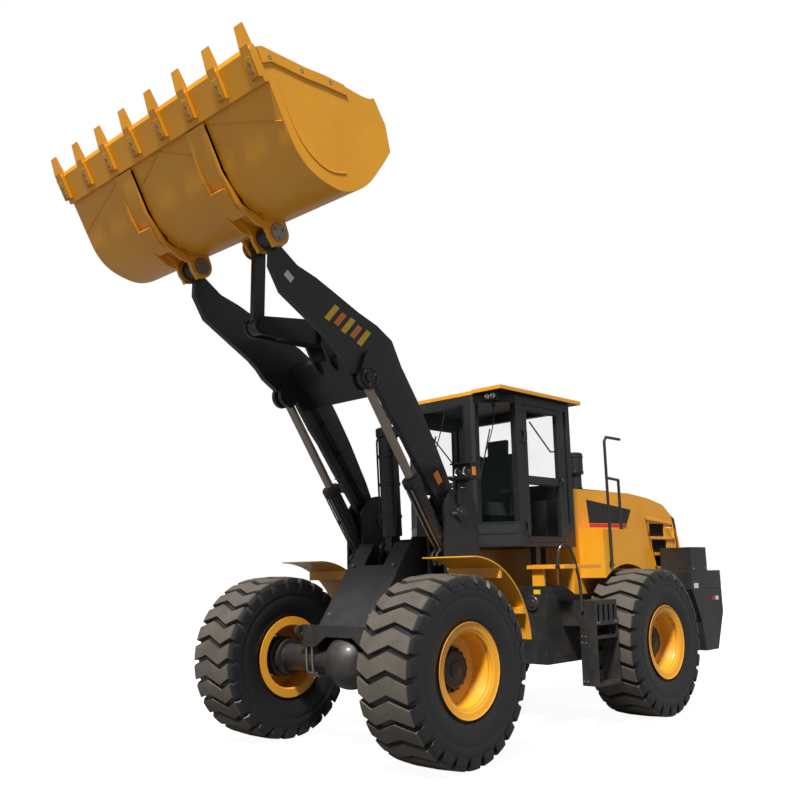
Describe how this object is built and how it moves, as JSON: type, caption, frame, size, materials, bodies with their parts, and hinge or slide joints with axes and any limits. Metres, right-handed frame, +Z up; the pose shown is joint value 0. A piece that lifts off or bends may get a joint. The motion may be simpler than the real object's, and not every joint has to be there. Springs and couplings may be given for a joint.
{
  "type": "wheel loader",
  "caption": "Articulated wheel loader with a raised bucket on a lifting boom, glazed cab, rear engine hood and four large lugged tyres.",
  "frame": {"origin": "centre of the machine's box in plan, on the ground that the tyres stand on", "axes": "+X forward towards the bucket, +Y to the machine's left, +Z up"},
  "size_m": [7.74, 3.024, 5.4383],
  "materials": {
    "black_plastic": "satin black",
    "cab_glass": "tinted clear",
    "cast_grey": "painted casting",
    "grey_paint": "charcoal machine paint",
    "pin_steel": "machined",
    "rod_chrome": "polished",
    "seat_cloth": "woven",
    "tyre": "matt black rubber",
    "yellow_paint": "semi-gloss machine paint"
  },
  "bodies": {
    "rear_frame": {"rear_chassis": "grey_paint", "engine_block": "cast_grey", "hood": "yellow_paint", "counterweight": "cast_grey", "cab_shell": "grey_paint", "cab_roof": "yellow_paint", "cab_glass": "cab_glass", "seat": "seat_cloth", "steering_column": "black_plastic", "platforms": "yellow_paint", "rear_fenders": "yellow_paint", "side_boxes": "grey_paint", "ladders": "grey_paint", "handrails": "grey_paint", "precleaner": "black_plastic", "rear_axle": "cast_grey"},
    "front_frame": {"front_frame": "grey_paint", "front_cover": "grey_paint", "front_axle": "cast_grey", "front_fenders": "yellow_paint", "headlamps": "black_plastic"},
    "boom": {"boom": "grey_paint"},
    "bellcrank_pin": {"bellcrank_pin": "pin_steel"},
    "bellcrank": {"bellcrank": "grey_paint"},
    "bucket_pins": {"bucket_pins": "pin_steel"},
    "bucket": {"bucket_shell": "yellow_paint", "bucket_edge": "yellow_paint"},
    "link_pin": {"link_pin": "pin_steel"},
    "link": {"link": "grey_paint"},
    "tilt_pin": {"tilt_pin": "pin_steel"},
    "tilt_barrel": {"tilt_barrel": "grey_paint"},
    "tilt_rod": {"tilt_rod": "rod_chrome"},
    "lift_barrel_left": {"lift_barrel_left": "grey_paint"},
    "lift_rod_left": {"lift_rod_left": "rod_chrome"},
    "steer_barrel_left": {"steer_barrel_left": "grey_paint"},
    "steer_rod_left": {"steer_rod_left": "rod_chrome"},
    "door_left": {"door_left": "grey_paint", "door_glass_left": "cab_glass"},
    "wheel_front_left": {"tyre_front_left": "tyre", "rim_front_left": "yellow_paint"},
    "wheel_rear_left": {"tyre_rear_left": "tyre", "rim_rear_left": "yellow_paint"},
    "lift_barrel_right": {"lift_barrel_right": "grey_paint"},
    "lift_rod_right": {"lift_rod_right": "rod_chrome"},
    "steer_barrel_right": {"steer_barrel_right": "grey_paint"},
    "steer_rod_right": {"steer_rod_right": "rod_chrome"},
    "door_right": {"door_right": "grey_paint", "door_glass_right": "cab_glass"},
    "wheel_front_right": {"tyre_front_right": "tyre", "rim_front_right": "yellow_paint"},
    "wheel_rear_right": {"tyre_rear_right": "tyre", "rim_rear_right": "yellow_paint"}
  },
  "joints": [
    {"name": "steer", "type": "hinge", "parent": "rear_frame", "child": "front_frame", "pos_m": [-0.17999, 0, 0.88], "axis": [0, 0, 1], "range_deg": [-38, 38]},
    {"name": "boom_lift", "type": "hinge", "parent": "front_frame", "child": "boom", "pos_m": [0.65301, 0, 2.107], "axis": [0, 1, 0], "range_deg": [0, 80]},
    {"name": "bucket_level", "type": "hinge", "parent": "boom", "child": "bucket_pins", "pos_m": [2.88001, 0, 4.352], "axis": [0, -1, 0], "range_deg": [-0.5, 66.5]},
    {"name": "bucket_tilt", "type": "hinge", "parent": "bucket_pins", "child": "bucket", "pos_m": [2.88001, 0, 4.352], "axis": [0, -1, 0], "range_deg": [-106, 0]},
    {"name": "bellcrank_level", "type": "hinge", "parent": "boom", "child": "bellcrank_pin", "pos_m": [1.82001, 0, 3.8], "axis": [0, -1, 0], "range_deg": [-28.9, 0.5]},
    {"name": "bellcrank_tilt", "type": "hinge", "parent": "bellcrank_pin", "child": "bellcrank", "pos_m": [1.82001, 0, 3.8], "axis": [0, -1, 0], "range_deg": [-0.5, 34.56]},
    {"name": "link_level", "type": "hinge", "parent": "bucket", "child": "link_pin", "pos_m": [2.57001, 0, 4.5], "axis": [0, -1, 0], "range_deg": [-79.31, 0.5]},
    {"name": "link_tilt", "type": "hinge", "parent": "link_pin", "child": "link", "pos_m": [2.57001, 0, 4.5], "axis": [0, -1, 0], "range_deg": [-0.5, 50.5]},
    {"name": "tilt_cylinder_level", "type": "hinge", "parent": "front_frame", "child": "tilt_pin", "pos_m": [0.90001, 0, 1.79], "axis": [0, -1, 0], "range_deg": [-76.52, 0.5]},
    {"name": "tilt_cylinder_swing", "type": "hinge", "parent": "tilt_pin", "child": "tilt_barrel", "pos_m": [0.90001, 0, 1.79], "axis": [0, -1, 0], "range_deg": [-12.88, 0.5]},
    {"name": "tilt_rod_slide", "type": "slide", "parent": "tilt_barrel", "child": "tilt_rod", "axis": [0.0452, 0, 0.999], "range_m": [-0.38597, 0.002]},
    {"name": "lift_swing_left", "type": "hinge", "parent": "front_frame", "child": "lift_barrel_left", "pos_m": [0.67001, 0.56, 1.6], "axis": [0, -1, 0], "range_deg": [-74.06, 0.5]},
    {"name": "lift_slide_left", "type": "slide", "parent": "lift_barrel_left", "child": "lift_rod_left", "axis": [0.5592, 0, 0.829], "range_m": [-0.62565, 0.002]},
    {"name": "steer_swing_left", "type": "hinge", "parent": "rear_frame", "child": "steer_barrel_left", "pos_m": [-1.12999, 0.43, 0.88], "axis": [0, 0, 1], "range_deg": [-5.32, 5.32]},
    {"name": "steer_slide_left", "type": "slide", "parent": "steer_barrel_left", "child": "steer_rod_left", "axis": [0.9962, -0.0866, 0], "range_m": [-0.22075, 0.22075]},
    {"name": "door_left_hinge", "type": "hinge", "parent": "rear_frame", "child": "door_left", "pos_m": [-0.30199, 0.773, 2.5], "axis": [0, 0, -1], "range_deg": [0, 80]},
    {"name": "wheel_front_left_spin", "type": "hinge", "parent": "front_frame", "child": "wheel_front_left", "pos_m": [1.47001, 1.14, 0.775], "axis": [0, 1, 0], "continuous": true},
    {"name": "wheel_rear_left_spin", "type": "hinge", "parent": "rear_frame", "child": "wheel_rear_left", "pos_m": [-1.82999, 1.14, 0.775], "axis": [0, 1, 0], "continuous": true},
    {"name": "lift_swing_right", "type": "hinge", "parent": "front_frame", "child": "lift_barrel_right", "pos_m": [0.67001, -0.56, 1.6], "axis": [0, -1, 0], "range_deg": [-74.06, 0.5]},
    {"name": "lift_slide_right", "type": "slide", "parent": "lift_barrel_right", "child": "lift_rod_right", "axis": [0.5592, 0, 0.829], "range_m": [-0.62565, 0.002]},
    {"name": "steer_swing_right", "type": "hinge", "parent": "rear_frame", "child": "steer_barrel_right", "pos_m": [-1.12999, -0.43, 0.88], "axis": [0, 0, 1], "range_deg": [-5.32, 5.32]},
    {"name": "steer_slide_right", "type": "slide", "parent": "steer_barrel_right", "child": "steer_rod_right", "axis": [0.9962, 0.0866, 0], "range_m": [-0.22075, 0.22075]},
    {"name": "door_right_hinge", "type": "hinge", "parent": "rear_frame", "child": "door_right", "pos_m": [-0.30199, -0.773, 2.5], "axis": [0, 0, 1], "range_deg": [0, 80]},
    {"name": "wheel_front_right_spin", "type": "hinge", "parent": "front_frame", "child": "wheel_front_right", "pos_m": [1.47001, -1.14, 0.775], "axis": [0, 1, 0], "continuous": true},
    {"name": "wheel_rear_right_spin", "type": "hinge", "parent": "rear_frame", "child": "wheel_rear_right", "pos_m": [-1.82999, -1.14, 0.775], "axis": [0, 1, 0], "continuous": true}
  ],
  "couplings": [
    {"joint": "bucket_level", "follows": "boom_lift", "ratio": 0.825},
    {"joint": "bellcrank_level", "follows": "boom_lift", "ratio": -0.35506},
    {"joint": "bellcrank_tilt", "follows": "bucket_tilt", "ratio": -0.3213},
    {"joint": "link_level", "follows": "boom_lift", "ratio": -0.98512},
    {"joint": "link_tilt", "follows": "bucket_tilt", "ratio": -0.4717},
    {"joint": "tilt_cylinder_level", "follows": "boom_lift", "ratio": -0.95026},
    {"joint": "tilt_cylinder_swing", "follows": "bucket_tilt", "ratio": 0.11681},
    {"joint": "tilt_rod_slide", "follows": "bucket_tilt", "m_per_rad": 0.20755},
    {"joint": "lift_swing_left", "follows": "boom_lift", "ratio": -0.91954},
    {"joint": "lift_slide_left", "follows": "boom_lift", "m_per_rad": -0.44665},
    {"joint": "steer_swing_left", "follows": "steer", "ratio": 0.12685},
    {"joint": "steer_slide_left", "follows": "steer", "m_per_rad": -0.32982},
    {"joint": "lift_swing_right", "follows": "boom_lift", "ratio": -0.91954},
    {"joint": "lift_slide_right", "follows": "boom_lift", "m_per_rad": -0.44665},
    {"joint": "steer_swing_right", "follows": "steer", "ratio": 0.12685},
    {"joint": "steer_slide_right", "follows": "steer", "m_per_rad": 0.32982}
  ]
}
